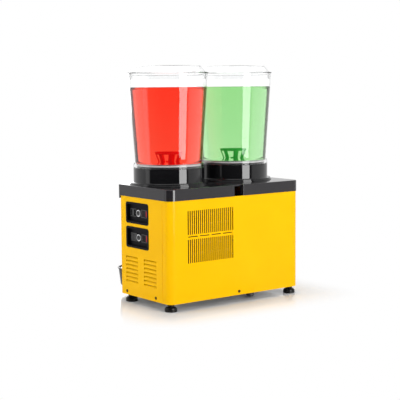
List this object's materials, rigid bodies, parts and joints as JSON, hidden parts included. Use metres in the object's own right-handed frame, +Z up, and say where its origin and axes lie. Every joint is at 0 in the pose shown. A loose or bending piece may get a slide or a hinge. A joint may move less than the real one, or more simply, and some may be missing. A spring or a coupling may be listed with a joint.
{
  "type": "cold drink dispenser",
  "caption": "Twin-bowl cold drink dispenser: clear lidded bowls over a boxy cooling base, pull taps and drip trays in front.",
  "frame": {"origin": "middle of the machine's footprint box, on the surface it stands on", "axes": "+Z up, +Y towards the rear face with the ventilation grille, so the taps and trays face -Y, +X towards the end with the switches"},
  "size_m": [0.493, 0.4054, 0.702],
  "materials": {
    "yellow_case": "satin powder coat",
    "black_cover": "glossy moulded plastic",
    "black_collar": "glossy moulded plastic",
    "galvanised": "zinc plated sheet",
    "stainless": "fine brushed stainless steel",
    "foot_rubber": "matt black rubber",
    "seal_rubber": "grey silicone",
    "mount_rubber": "matt black rubber",
    "clear_bowl": "clear polycarbonate",
    "clear_lid": "clear polycarbonate",
    "white_plastic": "moulded acetal",
    "tap_black": "moulded plastic",
    "lever_black": "moulded plastic",
    "spring_steel": "bright spring wire",
    "pin_steel": "turned stainless steel",
    "magnet": "sintered magnet",
    "motor": "painted steel can",
    "copper": "bright copper tube",
    "tray_black": "moulded plastic",
    "grid_steel": "punched stainless steel",
    "pocket_black": "fine textured plastic",
    "dial_ring": "satin chrome",
    "dial": "matt plastic",
    "thermostat": "plated steel case",
    "switch_black": "moulded plastic",
    "rocker_black": "moulded plastic",
    "rocker_red": "translucent dark red plastic",
    "compressor_black": "black enamel",
    "fins": "thin aluminium fins",
    "fan_plastic": "moulded plastic",
    "shroud": "galvanised sheet",
    "screw": "zinc plated",
    "gland": "moulded nylon"
  },
  "bodies": {
    "case": {"housing_wrap": "yellow_case", "front_panel": "yellow_case", "base_plate": "galvanised", "panel_screws": "screw", "top_cover": "black_cover", "collar_left": "black_collar", "collar_right": "black_collar", "cold_plates": "stainless", "bowl_gaskets": "seal_rubber", "cooling_coils": "copper", "motor_bridges": "galvanised", "drive_motors": "motor", "tray_hooks": "stainless", "control_pockets": "pocket_black", "dial_rings": "dial_ring", "thermostats": "thermostat", "switch_bodies": "switch_black", "compressor": "compressor_black", "rubber_mounts": "mount_rubber", "condenser": "fins", "fan_shroud": "shroud", "fan_motor": "motor", "refrigerant_pipes": "copper", "drier": "copper", "cord_gland": "gland"},
    "foot_front_left": {"foot_front_left": "foot_rubber"},
    "foot_front_right": {"foot_front_right": "foot_rubber"},
    "foot_rear_left": {"foot_rear_left": "foot_rubber"},
    "foot_rear_right": {"foot_rear_right": "foot_rubber"},
    "bowl_left": {"bowl_left": "clear_bowl", "tap_barrel_left": "tap_black", "tap_cap_left": "tap_black", "tap_pin_left": "pin_steel", "tap_spring_left": "spring_steel"},
    "lid_left": {"lid_left": "clear_lid"},
    "stirrer_left": {"stirrer_left": "white_plastic"},
    "drive_magnet_left": {"drive_magnet_left": "magnet"},
    "tap_plunger_left": {"tap_plunger_left": "white_plastic"},
    "tap_lever_left": {"tap_lever_left": "lever_black"},
    "drip_tray_left": {"drip_tray_left": "tray_black"},
    "drip_grid_left": {"drip_grid_left": "grid_steel"},
    "bowl_right": {"bowl_right": "clear_bowl", "tap_barrel_right": "tap_black", "tap_cap_right": "tap_black", "tap_pin_right": "pin_steel", "tap_spring_right": "spring_steel"},
    "lid_right": {"lid_right": "clear_lid"},
    "stirrer_right": {"stirrer_right": "white_plastic"},
    "drive_magnet_right": {"drive_magnet_right": "magnet"},
    "tap_plunger_right": {"tap_plunger_right": "white_plastic"},
    "tap_lever_right": {"tap_lever_right": "lever_black"},
    "drip_tray_right": {"drip_tray_right": "tray_black"},
    "drip_grid_right": {"drip_grid_right": "grid_steel"},
    "fan_wheel": {"fan_wheel": "fan_plastic"},
    "thermostat_dial_upper": {"thermostat_dial_upper": "dial"},
    "cooling_rocker_upper": {"cooling_rocker_upper": "rocker_black"},
    "mixer_rocker_upper": {"mixer_rocker_upper": "rocker_red"},
    "thermostat_dial_lower": {"thermostat_dial_lower": "dial"},
    "cooling_rocker_lower": {"cooling_rocker_lower": "rocker_black"},
    "mixer_rocker_lower": {"mixer_rocker_lower": "rocker_red"}
  },
  "joints": [
    {"name": "foot_front_left_turn", "type": "hinge", "parent": "case", "child": "foot_front_left", "pos_m": [-0.226, -0.02375, 0.011], "axis": [0, 0, 1], "range_deg": [-180, 180]},
    {"name": "foot_front_right_turn", "type": "hinge", "parent": "case", "child": "foot_front_right", "pos_m": [0.226, -0.02375, 0.011], "axis": [0, 0, 1], "range_deg": [-180, 180]},
    {"name": "foot_rear_left_turn", "type": "hinge", "parent": "case", "child": "foot_rear_left", "pos_m": [-0.226, 0.17825, 0.011], "axis": [0, 0, 1], "range_deg": [-180, 180]},
    {"name": "foot_rear_right_turn", "type": "hinge", "parent": "case", "child": "foot_rear_right", "pos_m": [0.226, 0.17825, 0.011], "axis": [0, 0, 1], "range_deg": [-180, 180]},
    {"name": "bowl_left_lift", "type": "slide", "parent": "case", "child": "bowl_left", "axis": [0, 0, 1], "range_m": [0, 0.06]},
    {"name": "lid_left_lift", "type": "slide", "parent": "bowl_left", "child": "lid_left", "axis": [0, 0, 1], "range_m": [0, 0.05]},
    {"name": "drive_magnet_left_spin", "type": "hinge", "parent": "case", "child": "drive_magnet_left", "pos_m": [-0.1235, 0.03245, 0.4], "axis": [0, 0, 1], "continuous": true},
    {"name": "stirrer_left_spin", "type": "hinge", "parent": "case", "child": "stirrer_left", "pos_m": [-0.1235, 0.03245, 0.43], "axis": [0, 0, 1], "continuous": true},
    {"name": "tap_lever_left_pull", "type": "hinge", "parent": "bowl_left", "child": "tap_lever_left", "pos_m": [-0.1235, -0.11575, 0.4872], "axis": [1, 0, 0], "range_deg": [0, 30]},
    {"name": "tap_plunger_left_rise", "type": "slide", "parent": "bowl_left", "child": "tap_plunger_left", "axis": [0, 0, 1], "range_m": [0, 0.0075], "stiffness_N_per_m": 100, "springref_m": -0.01, "deforming": ["tap_spring_left"]},
    {"name": "drip_tray_left_lift", "type": "slide", "parent": "case", "child": "drip_tray_left", "axis": [0, 0, 1], "range_m": [0, 0.03]},
    {"name": "drip_grid_left_lift", "type": "slide", "parent": "drip_tray_left", "child": "drip_grid_left", "axis": [0, 0, 1], "range_m": [0, 0.05]},
    {"name": "bowl_right_lift", "type": "slide", "parent": "case", "child": "bowl_right", "axis": [0, 0, 1], "range_m": [0, 0.06]},
    {"name": "lid_right_lift", "type": "slide", "parent": "bowl_right", "child": "lid_right", "axis": [0, 0, 1], "range_m": [0, 0.05]},
    {"name": "drive_magnet_right_spin", "type": "hinge", "parent": "case", "child": "drive_magnet_right", "pos_m": [0.1235, 0.03245, 0.4], "axis": [0, 0, 1], "continuous": true},
    {"name": "stirrer_right_spin", "type": "hinge", "parent": "case", "child": "stirrer_right", "pos_m": [0.1235, 0.03245, 0.43], "axis": [0, 0, 1], "continuous": true},
    {"name": "tap_lever_right_pull", "type": "hinge", "parent": "bowl_right", "child": "tap_lever_right", "pos_m": [0.1235, -0.11575, 0.4872], "axis": [1, 0, 0], "range_deg": [0, 30]},
    {"name": "tap_plunger_right_rise", "type": "slide", "parent": "bowl_right", "child": "tap_plunger_right", "axis": [0, 0, 1], "range_m": [0, 0.0075], "stiffness_N_per_m": 100, "springref_m": -0.01, "deforming": ["tap_spring_right"]},
    {"name": "drip_tray_right_lift", "type": "slide", "parent": "case", "child": "drip_tray_right", "axis": [0, 0, 1], "range_m": [0, 0.03]},
    {"name": "drip_grid_right_lift", "type": "slide", "parent": "drip_tray_right", "child": "drip_grid_right", "axis": [0, 0, 1], "range_m": [0, 0.05]},
    {"name": "fan_spin", "type": "hinge", "parent": "case", "child": "fan_wheel", "pos_m": [0.099, 0.15, 0.176], "axis": [0, 1, 0], "continuous": true},
    {"name": "thermostat_dial_upper_turn", "type": "hinge", "parent": "case", "child": "thermostat_dial_upper", "pos_m": [0.24, 0.03975, 0.272], "axis": [1, 0, 0], "range_deg": [-300, 0]},
    {"name": "cooling_rocker_upper_tilt", "type": "hinge", "parent": "case", "child": "cooling_rocker_upper", "pos_m": [0.2338, 0.01175, 0.272], "axis": [0, 0, 1], "range_deg": [0, 18]},
    {"name": "mixer_rocker_upper_tilt", "type": "hinge", "parent": "case", "child": "mixer_rocker_upper", "pos_m": [0.2338, 0.06775, 0.272], "axis": [0, 0, 1], "range_deg": [-18, 0]},
    {"name": "thermostat_dial_lower_turn", "type": "hinge", "parent": "case", "child": "thermostat_dial_lower", "pos_m": [0.24, 0.03975, 0.1995], "axis": [1, 0, 0], "range_deg": [-300, 0]},
    {"name": "cooling_rocker_lower_tilt", "type": "hinge", "parent": "case", "child": "cooling_rocker_lower", "pos_m": [0.2338, 0.01175, 0.1995], "axis": [0, 0, 1], "range_deg": [-18, 0]},
    {"name": "mixer_rocker_lower_tilt", "type": "hinge", "parent": "case", "child": "mixer_rocker_lower", "pos_m": [0.2338, 0.06775, 0.1995], "axis": [0, 0, 1], "range_deg": [-18, 0]}
  ],
  "couplings": [
    {"joint": "stirrer_left_spin", "follows": "drive_magnet_left_spin", "ratio": 1},
    {"joint": "tap_lever_left_pull", "follows": "tap_plunger_left_rise", "rad_per_m": 69.764},
    {"joint": "stirrer_right_spin", "follows": "drive_magnet_right_spin", "ratio": 1},
    {"joint": "tap_lever_right_pull", "follows": "tap_plunger_right_rise", "rad_per_m": 69.764}
  ]
}
